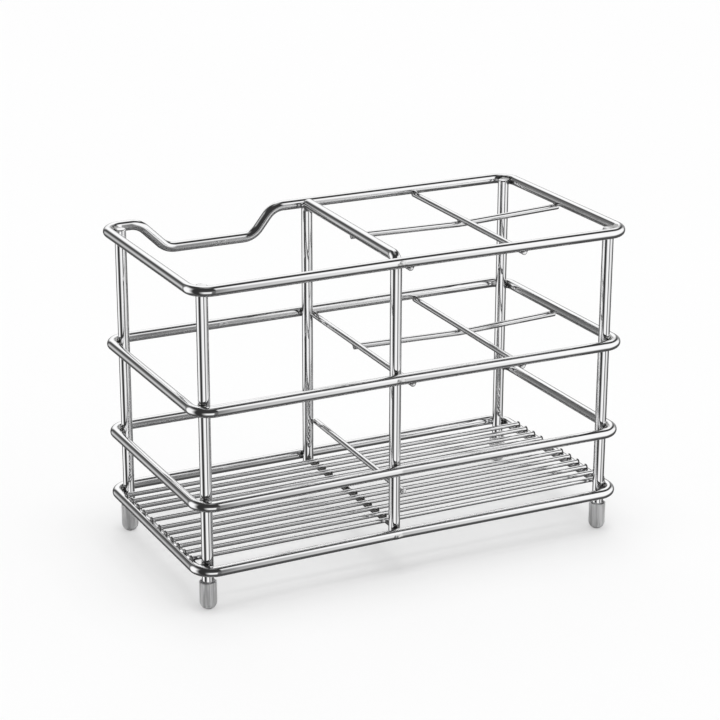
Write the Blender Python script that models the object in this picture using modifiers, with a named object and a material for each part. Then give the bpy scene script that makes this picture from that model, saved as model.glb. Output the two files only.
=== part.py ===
"""Toothbrush holder: a welded wire rack of four stacked rings on four corner posts.

An upside-down U of post wire divides it in two, thinner tie wires divide the right half again,
a row of fine wires makes the base, and a soft cap covers each post foot.
Metres, +Z up, the front facing -Y, the floor at z = 0 and the origin under the middle.
"""

import math

import bmesh
import bpy

# Overall size over the wires.
LENGTH = 0.190
DEPTH = 0.100

# Wire diameters.
RING_WIRE = 0.0042
POST_WIRE = 0.0046
TIE_WIRE = 0.0025
BASE_WIRE = 0.0020

# Heights of the ring centre lines above the floor.
BASE_RING_Z = 0.0174
LOW_RING_Z = 0.0441
HIGH_RING_Z = 0.0821
RIM_RING_Z = 0.1292

# Ring plan: corner radius on the centre line, and how far the middle of a front wire is drawn in.
CORNER_BEND = 0.0075
FRONT_BOW = 0.0012

# The dip in the rear wire of the rim, measured from the left end of the ring.
DIP_DEPTH = 0.0115
DIP_START = 0.0174
DIP_FLOOR_START = 0.0291
DIP_FLOOR_END = 0.0673
DIP_END = 0.0765
DIP_BEND = 0.0090

# Corner posts: where they touch the corner bend, and their ends.
POST_TOUCH_ANGLE = math.radians(31.6)
POST_TOP_ABOVE_RIM = 0.0008
POST_END_ROUND = 0.0006

# Divider hoop. Its rear leg stands a little further right than its front leg.
HOOP_FRONT_X = -0.0076
HOOP_REAR_X = -0.0052
HOOP_RISE = 0.0013
HOOP_BEND = 0.0034
HOOP_FOOT_BELOW_RING = 0.0021

# Tie wires. The sink is how deep a weld presses one wire into the next.
# The divider and cross ties have their own front and rear x under each ring.
TIE_SINK = 0.0009
TIE_OVERHANG = 0.0003
DIVIDER_TIE_X = {"rim": (-0.0039, -0.0011), "high": (-0.0024, 0.0001)}
CROSS_TIE_X = {"rim": (0.0458, 0.0476), "high": (0.0465, 0.0486)}
LONG_TIE_LEFT_Y = 0.0072
LONG_TIE_RIGHT_Y = 0.0056
LONG_TIE_LEFT_PAST = 0.0003
LONG_TIE_RIGHT_DROP = 0.0004
LOW_TIE_Z = 0.0331
LOW_TIE_PAST_LEG = 0.0005
BASE_TIE_X = -0.0062

# Base wires, counted from the rear. The gaps on both sides of one of them are wider.
BASE_COUNT = 11
BASE_REAR_INSET = 0.0160
BASE_FRONT_INSET = 0.0104
BASE_WIDE_INDEX = 4
BASE_WIDE_EXTRA = 0.00184
BASE_SINK = 0.0006
BASE_OVERHANG = 0.0001

# Foot caps.
CAP_DIAMETER = 0.0068
CAP_HEIGHT = 0.0113
CAP_FLAT_RADIUS = 0.0015
CAP_LIP_ROUND = 0.0002
CAP_FLOOR_THICKNESS = 0.0031

# Clearance left at every joint, so that each piece stays its own closed body.
GAP = 0.0003

# Looks: polished steel wire, and grey silicone caps.
STEEL_COLOUR = (0.62, 0.62, 0.63)
STEEL_ROUGHNESS = 0.12
SILICONE_COLOUR = (0.42, 0.42, 0.43)
SILICONE_ROUGHNESS = 0.45

# Facets and shading.
WIRE_BEVEL_STEPS = 5
CORNER_STEPS = 7
DIP_STEPS = 5
HOOP_STEPS = 6
TURN_STEPS = 28
CAP_ARC_STEPS = 6
LIP_STEPS = 2
WELD_DISTANCE = 0.00001
SHARP_ANGLE = math.radians(40)

RING_R = RING_WIRE / 2
POST_R = POST_WIRE / 2
TIE_R = TIE_WIRE / 2
BASE_R = BASE_WIRE / 2
HALF_X = LENGTH / 2 - RING_R
HALF_Y = DEPTH / 2 - RING_R
POST_REACH = CORNER_BEND - RING_R - POST_R - GAP
POST_X = HALF_X - CORNER_BEND + POST_REACH * math.cos(POST_TOUCH_ANGLE)
POST_Y = HALF_Y - CORNER_BEND + POST_REACH * math.sin(POST_TOUCH_ANGLE)
LEG_FRONT_Y = -(HALF_Y - FRONT_BOW - RING_R - POST_R - GAP)
LEG_REAR_Y = HALF_Y - RING_R - POST_R - GAP
HOOP_Z = RIM_RING_Z + HOOP_RISE
TIE_DROP = RING_R + TIE_R - TIE_SINK
BASE_Z = BASE_RING_Z + RING_R + BASE_R - BASE_SINK
BASE_TIE_Z = BASE_Z - BASE_R - TIE_R - GAP
BASE_REAR_Y = HALF_Y - BASE_REAR_INSET
BASE_SPAN = 2 * HALF_Y - BASE_REAR_INSET - BASE_FRONT_INSET
BASE_PITCH = (BASE_SPAN - 2 * BASE_WIDE_EXTRA) / (BASE_COUNT - 1)
CAP_R = CAP_DIAMETER / 2
CAP_BORE_R = POST_R + GAP
POST_BOTTOM = CAP_FLOOR_THICKNESS + GAP


def clear_scene():
    for obj in list(bpy.data.objects):
        bpy.data.objects.remove(obj, do_unlink=True)


def new_collection(name):
    made = bpy.data.collections.new(name)
    bpy.context.scene.collection.children.link(made)
    return made


def material(name, colour, metallic, roughness):
    made = bpy.data.materials.new(name)
    made.use_nodes = True
    shader = made.node_tree.nodes["Principled BSDF"]
    shader.inputs["Base Color"].default_value = (*colour, 1)
    shader.inputs["Metallic"].default_value = metallic
    shader.inputs["Roughness"].default_value = roughness
    return made


def steel(name):
    return material("steel_" + name, STEEL_COLOUR, 1.0, STEEL_ROUGHNESS)


def wire_object(name, points, diameter, closed=False):
    """A curve through the points with a round bevel and filled ends."""
    curve = bpy.data.curves.new(name, "CURVE")
    curve.dimensions = "3D"
    curve.bevel_depth = diameter / 2
    curve.bevel_resolution = WIRE_BEVEL_STEPS
    curve.use_fill_caps = not closed
    line = curve.splines.new("POLY")
    line.points.add(len(points) - 1)
    for point, place in zip(line.points, points):
        point.co = (*place, 1)
    line.use_cyclic_u = closed
    return bpy.data.objects.new(name, curve)


def as_mesh(wire):
    """The same wire as a mesh object with its end caps welded on, which a Boolean can cut or use."""
    RACK.objects.link(wire)
    graph = bpy.context.evaluated_depsgraph_get()
    mesh = bpy.data.meshes.new_from_object(wire.evaluated_get(graph))
    name = wire.name
    place = wire.matrix_world.copy()
    bpy.data.objects.remove(wire, do_unlink=True)
    mesh.name = name
    shape = bmesh.new()
    shape.from_mesh(mesh)
    bmesh.ops.remove_doubles(shape, verts=shape.verts, dist=WELD_DISTANCE)
    shape.to_mesh(mesh)
    shape.free()
    mesh.shade_smooth()
    mesh.set_sharp_from_angle(angle=SHARP_ANGLE)
    made = bpy.data.objects.new(name, mesh)
    made.matrix_world = place
    return made


def add_part(obj, skin):
    obj.data.materials.clear()
    obj.data.materials.append(skin)
    RACK.objects.link(obj)
    return obj


def add_cutter(obj):
    obj.hide_render = True
    obj.display_type = "WIRE"
    CUTTERS.objects.link(obj)
    return obj


def cut(obj, *cutters):
    for cutter in cutters:
        step = obj.modifiers.new("clear_" + cutter.name, "BOOLEAN")
        step.operation = "DIFFERENCE"
        step.solver = "EXACT"
        step.object = cutter


def bend(before, corner, after, radius, steps):
    """Points of the arc that rounds one corner of a path."""
    to_before = [b - c for b, c in zip(before, corner)]
    to_after = [a - c for a, c in zip(after, corner)]
    length_before = math.sqrt(sum(v * v for v in to_before))
    length_after = math.sqrt(sum(v * v for v in to_after))
    u = [v / length_before for v in to_before]
    w = [v / length_after for v in to_after]
    half = math.acos(max(-1.0, min(1.0, sum(a * b for a, b in zip(u, w))))) / 2
    middle = [a + b for a, b in zip(u, w)]
    length_middle = math.sqrt(sum(v * v for v in middle))
    centre = [c + m / length_middle * radius / math.sin(half) for c, m in zip(corner, middle)]
    start = [c + v * radius / math.tan(half) - o for c, v, o in zip(corner, u, centre)]
    end = [c + v * radius / math.tan(half) - o for c, v, o in zip(corner, w, centre)]
    sweep = math.pi - 2 * half
    made = []
    for k in range(steps + 1):
        a = math.sin((1 - k / steps) * sweep) / math.sin(sweep)
        b = math.sin(k / steps * sweep) / math.sin(sweep)
        made.append(tuple(o + a * s + b * e for o, s, e in zip(centre, start, end)))
    return made


def rounded(path, radii, steps, closed=False):
    """The path with an arc at each corner that has a radius."""
    made = []
    for k, corner in enumerate(path):
        ends = not closed and k in (0, len(path) - 1)
        if ends or not radii[k]:
            made.append(corner)
        else:
            after = path[(k + 1) % len(path)]
            made.extend(bend(path[k - 1], corner, after, radii[k], steps[k]))
    return made


def ring_path(z, dip=False):
    """A ring's centre line, from the rear left corner through the rear, right, front and left."""
    rear_left = (-HALF_X, HALF_Y, z)
    rear_right = (HALF_X, HALF_Y, z)
    front_right = (HALF_X, -HALF_Y, z)
    front_left = (-HALF_X, -HALF_Y, z)
    drawn_in = (HOOP_FRONT_X, -HALF_Y + FRONT_BOW, z)
    path = [rear_left, rear_right, front_right, drawn_in, front_left]
    radii = [CORNER_BEND, CORNER_BEND, CORNER_BEND, 0, CORNER_BEND]
    steps = [CORNER_STEPS] * len(path)
    if dip:
        turns = ((DIP_START, 0), (DIP_FLOOR_START, DIP_DEPTH), (DIP_FLOOR_END, DIP_DEPTH), (DIP_END, 0))
        path[1:1] = [(-LENGTH / 2 + along, HALF_Y, z - down) for along, down in turns]
        radii[1:1] = [DIP_BEND] * len(turns)
        steps[1:1] = [DIP_STEPS] * len(turns)
    return rounded(path, radii, steps, closed=True)


def make_rings():
    rings = (("ring_base", BASE_RING_Z), ("ring_low", LOW_RING_Z), ("ring_high", HIGH_RING_Z))
    for name, z in rings:
        add_part(wire_object(name, ring_path(z), RING_WIRE, closed=True), steel(name))
    rim = wire_object("ring_rim", ring_path(RIM_RING_Z, dip=True), RING_WIRE, closed=True)
    add_part(rim, steel("ring_rim"))


def corners():
    """Name and plan position of each corner post."""
    for end, sy in (("front", -1), ("rear", 1)):
        for side, sx in (("left", -1), ("right", 1)):
            yield end + "_" + side, sx * POST_X, sy * POST_Y


def lathe(name, profile):
    """A turned shape: the (radius, height) profile, closed at both ends on the axis."""
    mesh = bpy.data.meshes.new(name)
    verts = [(radius, 0, height) for radius, height in profile]
    mesh.from_pydata(verts, [(k, k + 1) for k in range(len(verts) - 1)], [])
    obj = bpy.data.objects.new(name, mesh)
    turn = obj.modifiers.new("turn", "SCREW")
    turn.axis = "Z"
    turn.steps = TURN_STEPS
    turn.render_steps = TURN_STEPS
    turn.use_merge_vertices = True
    turn.merge_threshold = WELD_DISTANCE
    turn.use_normal_calculate = True
    return obj


def make_posts():
    top = RIM_RING_Z + POST_TOP_ABOVE_RIM
    profile = (
        (0, POST_BOTTOM),
        (POST_R - POST_END_ROUND, POST_BOTTOM),
        (POST_R, POST_BOTTOM + POST_END_ROUND),
        (POST_R, top - POST_END_ROUND),
        (POST_R - POST_END_ROUND, top),
        (0, top),
    )
    for place, x, y in corners():
        name = "post_" + place
        post = add_part(lathe(name, profile), steel(name))
        post.location = (x, y, 0)


def cap_profile():
    rise = math.sqrt(CAP_R**2 - CAP_FLAT_RADIUS**2)
    first = math.asin(CAP_FLAT_RADIUS / CAP_R)
    made = [(0, 0)]
    for k in range(CAP_ARC_STEPS + 1):
        angle = first + (math.pi / 2 - first) * k / CAP_ARC_STEPS
        made.append((CAP_R * math.sin(angle), rise - CAP_R * math.cos(angle)))
    for centre, start in ((CAP_R - CAP_LIP_ROUND, 0), (CAP_BORE_R + CAP_LIP_ROUND, math.pi / 2)):
        for k in range(LIP_STEPS + 1):
            angle = start + math.pi / 2 * k / LIP_STEPS
            high = CAP_HEIGHT - CAP_LIP_ROUND + CAP_LIP_ROUND * math.sin(angle)
            made.append((centre + CAP_LIP_ROUND * math.cos(angle), high))
    made.append((CAP_BORE_R, CAP_FLOOR_THICKNESS))
    made.append((0, CAP_FLOOR_THICKNESS))
    return made


def make_caps():
    profile = cap_profile()
    for place, x, y in corners():
        name = "foot_cap_" + place
        skin = material("silicone_" + name, SILICONE_COLOUR, 0.0, SILICONE_ROUGHNESS)
        cap = add_part(lathe(name, profile), skin)
        cap.location = (x, y, 0)


def make_hoop():
    foot = BASE_RING_Z - HOOP_FOOT_BELOW_RING
    path = (
        (HOOP_FRONT_X, LEG_FRONT_Y, foot),
        (HOOP_FRONT_X, LEG_FRONT_Y, HOOP_Z),
        (HOOP_REAR_X, LEG_REAR_Y, HOOP_Z),
        (HOOP_REAR_X, LEG_REAR_Y, foot),
    )
    points = rounded(path, [0, HOOP_BEND, HOOP_BEND, 0], [HOOP_STEPS] * len(path))
    add_part(wire_object("divider_hoop", points, POST_WIRE), steel("divider_hoop"))


def clearance(name, path, diameter, closed=False):
    """A cutter that follows a wire with the joint clearance round it."""
    return add_cutter(as_mesh(wire_object(name, path, diameter + 2 * GAP, closed)))


def tie_x(ends, y):
    """Where a tie with these front and rear ends stands at this depth."""
    share = (y + HALF_Y) / (2 * HALF_Y)
    return ends[0] + share * (ends[1] - ends[0])


def front_y(x):
    """The front wire's centre line at x, which is drawn in towards the hoop leg."""
    end = HALF_X if x > HOOP_FRONT_X else -HALF_X
    share = (end - x) / (end - HOOP_FRONT_X)
    return -HALF_Y + FRONT_BOW * share


def depth_tie_path(ends, z):
    """A tie from the front wire to the rear wire of a ring."""
    front = front_y(ends[0]) - TIE_OVERHANG
    rear = HALF_Y + TIE_OVERHANG
    return [(tie_x(ends, front), front, z), (tie_x(ends, rear), rear, z)]


def long_tie_path(tier, z):
    """A tie from the divider to the right wire. It runs down to pass under the cross tie, then up."""
    left = tie_x(DIVIDER_TIE_X[tier], LONG_TIE_LEFT_Y) - LONG_TIE_LEFT_PAST
    right = HALF_X + TIE_OVERHANG
    middle = tie_x(CROSS_TIE_X[tier], (LONG_TIE_LEFT_Y + LONG_TIE_RIGHT_Y) / 2)
    share = (middle - left) / (right - left)
    middle_y = LONG_TIE_LEFT_Y + share * (LONG_TIE_RIGHT_Y - LONG_TIE_LEFT_Y)
    start = (left, LONG_TIE_LEFT_Y, z - TIE_WIRE + TIE_SINK)
    under = (middle, middle_y, z - TIE_WIRE)
    return [start, under, (right, LONG_TIE_RIGHT_Y, z - LONG_TIE_RIGHT_DROP)]


def make_tier_ties(tier, ring_z, ring_cutter):
    """The three ties under one ring: divider, cross and long."""
    z = ring_z - TIE_DROP
    divider_path = depth_tie_path(DIVIDER_TIE_X[tier], z)
    cross_path = depth_tie_path(CROSS_TIE_X[tier], z)
    for kind, path in (("divider", divider_path), ("cross", cross_path)):
        name = "tie_" + kind + "_" + tier
        tie = add_part(as_mesh(wire_object(name, path, TIE_WIRE)), steel(name))
        cut(tie, ring_cutter)
    divider_cutter = clearance("clear_divider_" + tier, divider_path, TIE_WIRE)
    cross_cutter = clearance("clear_cross_" + tier, cross_path, TIE_WIRE)
    name = "tie_long_" + tier
    tie = add_part(as_mesh(wire_object(name, long_tie_path(tier, z), TIE_WIRE)), steel(name))
    cut(tie, ring_cutter, divider_cutter, cross_cutter)


def make_leg_tie():
    """The low tie along the right side of both hoop legs."""
    beside = POST_R + TIE_R + GAP
    front = (HOOP_FRONT_X + beside, LEG_FRONT_Y - LOW_TIE_PAST_LEG, LOW_TIE_Z)
    rear = (HOOP_REAR_X + beside, LEG_REAR_Y + LOW_TIE_PAST_LEG, LOW_TIE_Z)
    add_part(wire_object("tie_divider_low", [front, rear], TIE_WIRE), steel("tie_divider_low"))


def make_base_tie():
    """The tie between the hoop legs that carries the base wires in the middle."""
    inset = POST_R + GAP
    front = (BASE_TIE_X, LEG_FRONT_Y + inset, BASE_TIE_Z)
    rear = (BASE_TIE_X, LEG_REAR_Y - inset, BASE_TIE_Z)
    add_part(wire_object("tie_base", [front, rear], TIE_WIRE), steel("tie_base"))


def base_y(index):
    wide = min(max(index - BASE_WIDE_INDEX + 1, 0), 2)
    return BASE_REAR_Y - index * BASE_PITCH - wide * BASE_WIDE_EXTRA


def make_base_wires(ring_cutter):
    reach = HALF_X + BASE_OVERHANG
    for index in range(BASE_COUNT):
        name = f"base_wire_{index + 1:02d}"
        y = base_y(index)
        path = [(-reach, y, BASE_Z), (reach, y, BASE_Z)]
        wire = add_part(as_mesh(wire_object(name, path, BASE_WIRE)), steel(name))
        cut(wire, ring_cutter)


clear_scene()
RACK = new_collection("toothbrush_holder")
CUTTERS = new_collection("cutters")
CUTTERS.hide_render = True
make_rings()
make_posts()
make_caps()
make_hoop()
make_leg_tie()
make_base_tie()
rim_cutter = clearance("clear_rim", ring_path(RIM_RING_Z), RING_WIRE, closed=True)
high_cutter = clearance("clear_high", ring_path(HIGH_RING_Z), RING_WIRE, closed=True)
base_cutter = clearance("clear_base", ring_path(BASE_RING_Z), RING_WIRE, closed=True)
make_tier_ties("rim", RIM_RING_Z, rim_cutter)
make_tier_ties("high", HIGH_RING_Z, high_cutter)
make_base_wires(base_cutter)
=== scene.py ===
"""Looks for the toothbrush holder: a welded rack of bright steel wire on grey silicone caps."""

import math

import bpy
import numpy as np
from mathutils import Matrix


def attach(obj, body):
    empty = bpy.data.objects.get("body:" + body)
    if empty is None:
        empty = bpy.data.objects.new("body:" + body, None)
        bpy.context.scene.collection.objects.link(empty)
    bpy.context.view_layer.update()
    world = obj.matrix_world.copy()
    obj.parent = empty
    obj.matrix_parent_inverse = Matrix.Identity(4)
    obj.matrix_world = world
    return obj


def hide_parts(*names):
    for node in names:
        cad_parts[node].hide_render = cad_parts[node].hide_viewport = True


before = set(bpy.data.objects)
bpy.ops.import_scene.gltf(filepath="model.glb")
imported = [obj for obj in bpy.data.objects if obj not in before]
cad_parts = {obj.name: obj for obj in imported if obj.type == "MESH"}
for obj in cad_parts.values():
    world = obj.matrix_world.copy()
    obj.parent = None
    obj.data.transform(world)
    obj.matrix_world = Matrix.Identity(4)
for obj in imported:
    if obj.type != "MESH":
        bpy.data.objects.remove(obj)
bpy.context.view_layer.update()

import openvdb
from mathutils import Matrix, Vector

# Sizes repeated from the CAD part, in metres. X runs left to right, Y front to rear and Z up.
LENGTH = 0.190
DEPTH = 0.100
RING_WIRE = 0.0042
POST_WIRE = 0.0046
TIE_WIRE = 0.0025
BASE_WIRE = 0.0020
BASE_RING_Z = 0.0174
LOW_RING_Z = 0.0441
HIGH_RING_Z = 0.0821
RIM_RING_Z = 0.1292
CORNER_BEND = 0.0075
FRONT_BOW = 0.0012
DIP_DEPTH = 0.0115
DIP_START = 0.0174
DIP_FLOOR_START = 0.0291
DIP_FLOOR_END = 0.0673
DIP_END = 0.0765
DIP_BEND = 0.0090
POST_TOUCH_ANGLE = math.radians(31.6)
POST_TOP_ABOVE_RIM = 0.0008
HOOP_FRONT_X = -0.0076
HOOP_REAR_X = -0.0052
HOOP_RISE = 0.0013
HOOP_BEND = 0.0034
HOOP_FOOT_BELOW_RING = 0.0021
TIE_SINK = 0.0009
TIE_OVERHANG = 0.0003
DIVIDER_TIE_X = {"rim": (-0.0039, -0.0011), "high": (-0.0024, 0.0001)}
CROSS_TIE_X = {"rim": (0.0458, 0.0476), "high": (0.0465, 0.0486)}
LONG_TIE_LEFT_Y = 0.0072
LONG_TIE_RIGHT_Y = 0.0056
LONG_TIE_LEFT_PAST = 0.0003
LONG_TIE_RIGHT_DROP = 0.0004
LOW_TIE_Z = 0.0331
LOW_TIE_PAST_LEG = 0.0005
BASE_TIE_X = -0.0062
BASE_COUNT = 11
BASE_REAR_INSET = 0.0160
BASE_FRONT_INSET = 0.0104
BASE_WIDE_INDEX = 4
BASE_WIDE_EXTRA = 0.00184
BASE_SINK = 0.0006
BASE_OVERHANG = 0.0001
CAP_DIAMETER = 0.0068
CAP_HEIGHT = 0.0113
CAP_FLAT_RADIUS = 0.0015
CAP_FLOOR_THICKNESS = 0.0031
GAP = 0.0003

RING_R = RING_WIRE / 2
POST_R = POST_WIRE / 2
TIE_R = TIE_WIRE / 2
BASE_R = BASE_WIRE / 2
HALF_X = LENGTH / 2 - RING_R
HALF_Y = DEPTH / 2 - RING_R
POST_REACH = CORNER_BEND - RING_R - POST_R - GAP
POST_X = HALF_X - CORNER_BEND + POST_REACH * math.cos(POST_TOUCH_ANGLE)
POST_Y = HALF_Y - CORNER_BEND + POST_REACH * math.sin(POST_TOUCH_ANGLE)
POST_TOP = RIM_RING_Z + POST_TOP_ABOVE_RIM
POST_BOTTOM = CAP_FLOOR_THICKNESS + GAP
LEG_FRONT_Y = -(HALF_Y - FRONT_BOW - RING_R - POST_R - GAP)
LEG_REAR_Y = HALF_Y - RING_R - POST_R - GAP
HOOP_Z = RIM_RING_Z + HOOP_RISE
TIE_DROP = RING_R + TIE_R - TIE_SINK
BASE_Z = BASE_RING_Z + RING_R + BASE_R - BASE_SINK
BASE_TIE_Z = BASE_Z - BASE_R - TIE_R - GAP
BASE_REAR_Y = HALF_Y - BASE_REAR_INSET
BASE_SPAN = 2 * HALF_Y - BASE_REAR_INSET - BASE_FRONT_INSET
BASE_PITCH = (BASE_SPAN - 2 * BASE_WIDE_EXTRA) / (BASE_COUNT - 1)
CAP_R = CAP_DIAMETER / 2
CAP_BORE_R = POST_R + GAP

# The cap's softer forms, which the CAD leaves plain.
CAP_LIP = 0.00022
CAP_MOUTH = 0.00280
CAP_MOUTH_DEPTH = 0.0011
CAP_BORE_IN = 0.0001
CAP_BORE_EDGE = 0.0004

# Fineness of the meshes: counts round a wire and along its bends, and the longest straight step.
# A stretch of wire within JOINT_SPAN radii of a joint also has points at the NEAR_JOINT distances
# from it. No two points lie closer than LEAST_STEP.
THICK_SIDES = 48
THIN_SIDES = 32
CORNER_STEPS = 22
DIP_STEPS = 14
HOOP_STEPS = 20
STRETCH = 0.008
JOINT_SPAN = 2.5
NEAR_JOINT = (0.0006, 0.0014, 0.0024, 0.0036)
LEAST_STEP = 0.0003
EDGE_STEPS = 5
CAP_TURNS = 72
CAP_BOWL_STEPS = 16
CAP_LIP_STEPS = 6
CAP_MOUTH_STEPS = 6
CAP_FLAT_STOP = 0.6
CAP_WALL_STOPS = (0.3, 0.55, 0.8)

# Ends of the wires: how far the edge is worn round, and how far the middle stands out.
POST_EDGE = 0.0006
FOOT_EDGE = 0.00035
TIE_EDGE = 0.00035
BASE_EDGE = 0.00028
END_CROWN = 0.00006
# One more ring of points lies between the edge and the middle: its share of that rise, its share of
# the flat's radius, and how far its normal still leans out.
CROWN_RISE = 0.6
CROWN_WIDE = 0.55
CROWN_LEAN = 0.05

# Welds, by kind: the fillet's reach, the radius round the joint that it keeps to, the mesh step and
# the height of its ripple. Away from the joint it lies WELD_UNDER beneath the skins of the wires,
# and stretches of wire beyond WELD_REACH play no part in it.
WELD_UNDER = 0.00003
WELD_REACH = 0.012
WELDS = {
    "post": (0.0019, 0.0042, 0.00022, 0.00010),
    "leg": (0.0019, 0.0042, 0.00022, 0.00010),
    "bend": (0.0011, 0.0030, 0.00018, 0.00010),
    "tie": (0.0007, 0.0020, 0.00014, 0.00010),
    "base": (0.0005, 0.0019, 0.00012, 0.00010),
    "knob": (0.00015, 0.0017, 0.00010, 0.00010),
    "mark": (0.00025, 0.0030, 0.00012, 0.00003),
}
TIE_WELD_INSET = 0.0009
WELD_SEED = 7
# Chance in a weld: waves of its ripple, how its reach spreads, and how far it leans, in reaches.
RIPPLE_COUNT = 4
RIPPLE_WAVES = (1300, 3200)
REACH_SPREAD = (0.9, 1.1)
LEAN_SPREAD = 0.12
# The grid leaves this share of the reach free. Its points then settle on the surface by moves that
# are measured in mesh steps.
GRID_MARGIN = 0.5
SETTLE_MOVES = 2
SETTLE_NUDGE = 0.2
SETTLE_MOST = 0.4
LEAST_SLOPE = 0.05
TINY = 1e-9
# The stain round a weld: its strength at the joint, and how many radii it takes to fade by 1.
STAIN_FULL = 1.25
STAIN_REACH = 1.2
# The press marks on the front wires: x, how far below the wire's middle, how far it stands out, and
# the radius of its bow.
MARKS = {
    "rim": (-0.0084, 0.0, 0.00008, 0.012),
    "high": (-0.0084, 0.0, 0.00008, 0.012),
    "base": (-0.0092, 0.0010, 0.00030, 0.0055),
}
MARK_WIDE = 0.0030
MARK_HALF = 0.0020
MARK_STEPS = 13
# Knobs of metal squeezed out at the ends of the base wires and beside the base tie: width, and how
# far in, aside or down.
END_KNOB = 0.0027
END_KNOB_IN = 0.0002
END_KNOB_DROP = 0.0001
TIE_KNOB = 0.0013
TIE_KNOB_OFF = 0.0010
TIE_KNOB_DROP = 0.0006
KNOB_LONG = 0.0005

# The photograph's camera.
CAMERA_AT = (-0.38318, -0.76302, 0.37313)
CAMERA_YAW = 0.463338
CAMERA_PITCH = 0.33666
CAMERA_ROLL = 0.00231
CAMERA_FOCAL_PX = 2225.115
IMAGE_PX = 720
SENSOR_MM = 36.0
CLIP_NEAR = 0.01
CLIP_FAR = 100.0
# Level directions, ahead of the camera and to its right.
AHEAD = (math.sin(CAMERA_YAW), math.cos(CAMERA_YAW), 0.0)
TO_RIGHT = (math.cos(CAMERA_YAW), -math.sin(CAMERA_YAW), 0.0)

ROOT = "root"


# ---------------------------------------------------------------- paths

def bend(before, corner, after, radius, steps):
    """Points of the arc that rounds one corner of a path."""
    before, corner, after = (np.array(p, float) for p in (before, corner, after))
    u = (before - corner) / np.linalg.norm(before - corner)
    w = (after - corner) / np.linalg.norm(after - corner)
    half = math.acos(float(np.clip(u @ w, -1, 1))) / 2
    middle = (u + w) / np.linalg.norm(u + w)
    centre = corner + middle * radius / math.sin(half)
    start = corner + u * radius / math.tan(half) - centre
    end = corner + w * radius / math.tan(half) - centre
    sweep = math.pi - 2 * half
    made = []
    for k in range(steps + 1):
        a = math.sin((1 - k / steps) * sweep) / math.sin(sweep)
        b = math.sin(k / steps * sweep) / math.sin(sweep)
        made.append(tuple(centre + a * start + b * end))
    return made


def rounded(path, radii, steps, closed=False):
    """The path with an arc at each corner that has a radius."""
    made = []
    for k, corner in enumerate(path):
        ends = not closed and k in (0, len(path) - 1)
        if ends or not radii[k]:
            made.append(corner)
        else:
            after = path[(k + 1) % len(path)]
            made.extend(bend(path[k - 1], corner, after, radii[k], steps[k]))
    return made


def ring_path(z, dip=False):
    rear_left = (-HALF_X, HALF_Y, z)
    rear_right = (HALF_X, HALF_Y, z)
    front_right = (HALF_X, -HALF_Y, z)
    front_left = (-HALF_X, -HALF_Y, z)
    drawn_in = (HOOP_FRONT_X, -HALF_Y + FRONT_BOW, z)
    path = [rear_left, rear_right, front_right, drawn_in, front_left]
    radii = [CORNER_BEND, CORNER_BEND, CORNER_BEND, 0, CORNER_BEND]
    steps = [CORNER_STEPS] * len(path)
    if dip:
        floor = (DIP_FLOOR_START, DIP_DEPTH), (DIP_FLOOR_END, DIP_DEPTH)
        turns = ((DIP_START, 0), *floor, (DIP_END, 0))
        path[1:1] = [(-LENGTH / 2 + along, HALF_Y, z - down) for along, down in turns]
        radii[1:1] = [DIP_BEND] * len(turns)
        steps[1:1] = [DIP_STEPS] * len(turns)
    return rounded(path, radii, steps, closed=True)


def hoop_path():
    foot = BASE_RING_Z - HOOP_FOOT_BELOW_RING
    path = (
        (HOOP_FRONT_X, LEG_FRONT_Y, foot),
        (HOOP_FRONT_X, LEG_FRONT_Y, HOOP_Z),
        (HOOP_REAR_X, LEG_REAR_Y, HOOP_Z),
        (HOOP_REAR_X, LEG_REAR_Y, foot),
    )
    return rounded(path, [0, HOOP_BEND, HOOP_BEND, 0], [HOOP_STEPS] * len(path))


def tie_x(ends, y):
    share = (y + HALF_Y) / (2 * HALF_Y)
    return ends[0] + share * (ends[1] - ends[0])


def front_y(x):
    end = HALF_X if x > HOOP_FRONT_X else -HALF_X
    share = (end - x) / (end - HOOP_FRONT_X)
    return -HALF_Y + FRONT_BOW * share


def depth_tie_path(ends, z):
    front = front_y(ends[0]) - TIE_OVERHANG
    rear = HALF_Y + TIE_OVERHANG
    return [(tie_x(ends, front), front, z), (tie_x(ends, rear), rear, z)]


def long_tie_path(tier, z):
    left = tie_x(DIVIDER_TIE_X[tier], LONG_TIE_LEFT_Y) - LONG_TIE_LEFT_PAST
    right = HALF_X + TIE_OVERHANG
    middle = tie_x(CROSS_TIE_X[tier], (LONG_TIE_LEFT_Y + LONG_TIE_RIGHT_Y) / 2)
    share = (middle - left) / (right - left)
    middle_y = LONG_TIE_LEFT_Y + share * (LONG_TIE_RIGHT_Y - LONG_TIE_LEFT_Y)
    start = (left, LONG_TIE_LEFT_Y, z - TIE_WIRE + TIE_SINK)
    under = (middle, middle_y, z - TIE_WIRE)
    return [start, under, (right, LONG_TIE_RIGHT_Y, z - LONG_TIE_RIGHT_DROP)]


def base_y(index):
    wide = min(max(index - BASE_WIDE_INDEX + 1, 0), 2)
    return BASE_REAR_Y - index * BASE_PITCH - wide * BASE_WIDE_EXTRA


def corners():
    for end, sy in (("front", -1), ("rear", 1)):
        for side, sx in (("left", -1), ("right", 1)):
            yield end + "_" + side, sx, sy


RINGS = {"base": BASE_RING_Z, "low": LOW_RING_Z, "high": HIGH_RING_Z, "rim": RIM_RING_Z}
UP = (0, 0, 1)
RIGHT = (1, 0, 0)


class Wire:
    """A round wire along a path. side is a direction that no stretch of it runs along."""

    def __init__(self, path, diameter, side, closed=False, edge=0.0):
        self.path = np.array(path, float)
        self.radius = diameter / 2
        self.side = np.array(side, float)
        self.closed = closed
        self.edge = edge
        self.joints = []


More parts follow.
